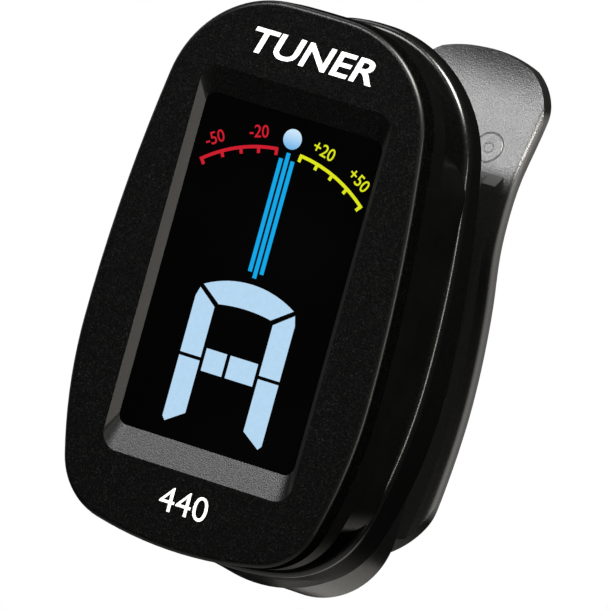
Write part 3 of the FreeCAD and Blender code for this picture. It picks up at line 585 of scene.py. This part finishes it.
def scale_numbers():
    for text, x, z, material in SCALE_NUMBERS:
        name = "display_number" + text.replace("+", "_plus_").replace("-", "_minus_")
        turn = -math.degrees(math.atan2(x, z - SCALE_CENTRE))
        flat_text(name, text, x + GRAPHICS_SHIFT, z, NUMBER_HEIGHT, material, SEGMENT_FRONT, SEGMENT_THICK,
                  turn=turn, width=0.92, bold=0.012)


def printed_marks():
    flat_text("print_name", "TUNER", 0.1, 22.9, PRINT_HEIGHT, "print", PRINT_FRONT, PRINT_THICK,
              width=1.25, slant=0.25, bold=0.06)
    flat_text("print_pitch", "440", -0.1, -23.0, PRINT_HEIGHT, "print", PRINT_FRONT, PRINT_THICK,
              width=1.05, bold=-0.01)


tuning_scale("display_scale_flat", -1, "red")
tuning_scale("display_scale_sharp", 1, "yellow")
needle()
note_letter()
segments("display_dot", [arc_points(DOT_LEVEL, DOT_RADIUS, 0, 352.5, 47)], "dot")
scale_numbers()
printed_marks()


# ---------------------------------------------------------------- spring

def torsion_spring():
    """Coils round the hinge pin, with one straight leg on each arm of the clip."""
    coils = []
    for i in range(COIL_STEPS + 1):
        a = math.radians(COIL_START + COIL_SWEEP * i / COIL_STEPS)
        x = COIL_SPAN * (i / COIL_STEPS - 0.5)
        coils.append(PIN + Vector((x, math.cos(a) * COIL_RADIUS, math.sin(a) * COIL_RADIUS)))
    lead_in = (coils[0] - coils[1]).normalized()
    lead_out = (coils[-1] - coils[-2]).normalized()
    front_leg = [coils[0] + lead_in * FRONT_LEG * k / LEG_STEPS for k in range(LEG_STEPS, 0, -1)]
    rear_leg = [coils[-1] + lead_out * REAR_LEG * k / LEG_STEPS for k in range(1, LEG_STEPS + 1)]
    wire = tube(front_leg + coils + rear_leg, WIRE_RADIUS, WIRE_SIDES)
    spring = put("torsion_spring", wire, "spring_steel")
    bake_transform(spring)
    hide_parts("clip_spring")


torsion_spring()


# ---------------------------------------------------------------- stage, light and camera

# the floor and the camera's distance in metres, the camera's lens and sensor in millimetres
FLOOR_RADIUS = 1.3
FLOOR_DROP = 1.2

WHITE = (1.0, 1.0, 1.0)
WARM = (1.0, 0.965, 0.89)
PALE_WARM = (1.0, 0.98, 0.93)

CAMERA_AZIMUTH = 26.0
CAMERA_ELEVATION = 3.7
CAMERA_ROLL = 15.5
CAMERA_DISTANCE = 1.0196
SENSOR_WIDTH = 36.0
FOCAL_LENGTH = 613.6

FILL_STRENGTH = 0.02
VIEW_CENTRE = on_face(5.5, -0.7, 2.6)


def stand_off(name, data, azimuth, elevation, distance):
    """A light or camera that looks at the object; azimuth 0 is the front, positive to its right."""
    obj = bpy.data.objects.new(name, data)
    bpy.context.scene.collection.objects.link(obj)
    a, e = math.radians(azimuth), math.radians(elevation)
    outwards = Vector((math.sin(a) * math.cos(e), -math.cos(a) * math.cos(e), math.sin(e)))
    obj.location = VIEW_CENTRE + outwards * distance
    obj.rotation_euler = (VIEW_CENTRE - obj.location).to_track_quat("-Z", "Y").to_euler()
    return obj


def softbox(name, azimuth, elevation, distance, wide, tall, power, colour):
    light = bpy.data.lights.new(name, "AREA")
    light.shape = "RECTANGLE"
    light.size = wide
    light.size_y = tall
    light.energy = power
    light.color = colour
    stand_off(name, light, azimuth, elevation, distance).visible_camera = False


def floor():
    bm = bmesh.new()
    bmesh.ops.create_circle(bm, cap_ends=True, radius=FLOOR_RADIUS, segments=96)
    obj = put("floor", finished_mesh(bm), "floor")
    obj.location = (0, 0, CAD_BOX[0][2] - FLOOR_DROP)


def surroundings():
    """White to the eye, with a dimmer even light on the object."""
    world = bpy.data.worlds.new("studio")
    bpy.context.scene.world = world
    world.use_nodes = True
    tree = world.node_tree
    tree.nodes.clear()
    seen = add(tree, "ShaderNodeBackground", Color=grey(1.0), Strength=1.0)
    fill = add(tree, "ShaderNodeBackground", Color=grey(1.0), Strength=FILL_STRENGTH)
    mix = tree.nodes.new("ShaderNodeMixShader")
    path = tree.nodes.new("ShaderNodeLightPath")
    out = tree.nodes.new("ShaderNodeOutputWorld")
    tree.links.new(path.outputs["Is Camera Ray"], mix.inputs["Fac"])
    tree.links.new(fill.outputs["Background"], mix.inputs[1])
    tree.links.new(seen.outputs["Background"], mix.inputs[2])
    tree.links.new(mix.outputs["Shader"], out.inputs["Surface"])


def camera():
    data = bpy.data.cameras.new("camera")
    data.sensor_width = SENSOR_WIDTH
    data.lens = FOCAL_LENGTH
    data.clip_start = 0.01
    data.clip_end = 50.0
    obj = stand_off("camera", data, CAMERA_AZIMUTH, CAMERA_ELEVATION, CAMERA_DISTANCE)
    roll = Matrix.Rotation(math.radians(CAMERA_ROLL), 3, "Z")
    obj.rotation_euler = (obj.rotation_euler.to_matrix() @ roll).to_euler()
    bpy.context.scene.camera = obj


# azimuth and elevation in degrees; distance, width and height in metres; power in watts
softbox("key", -28, 35, 0.70, 0.34, 0.20, 3.6, WHITE)
softbox("overhead_right", 40, 54, 0.70, 0.30, 0.30, 16.0, PALE_WARM)
softbox("overhead_left", -105, 62, 0.80, 0.30, 0.30, 0.8, WHITE)
softbox("right_strip", 76, -2, 0.80, 0.07, 0.5, 2.6, WARM)
softbox("low_back", 176, -32, 1.0, 0.90, 0.24, 0.46, WARM)
softbox("left_behind", -128, -2, 0.8, 0.6, 0.5, 2.5, WHITE)
floor()
surroundings()
camera()
bpy.context.scene.view_settings.view_transform = "Standard"
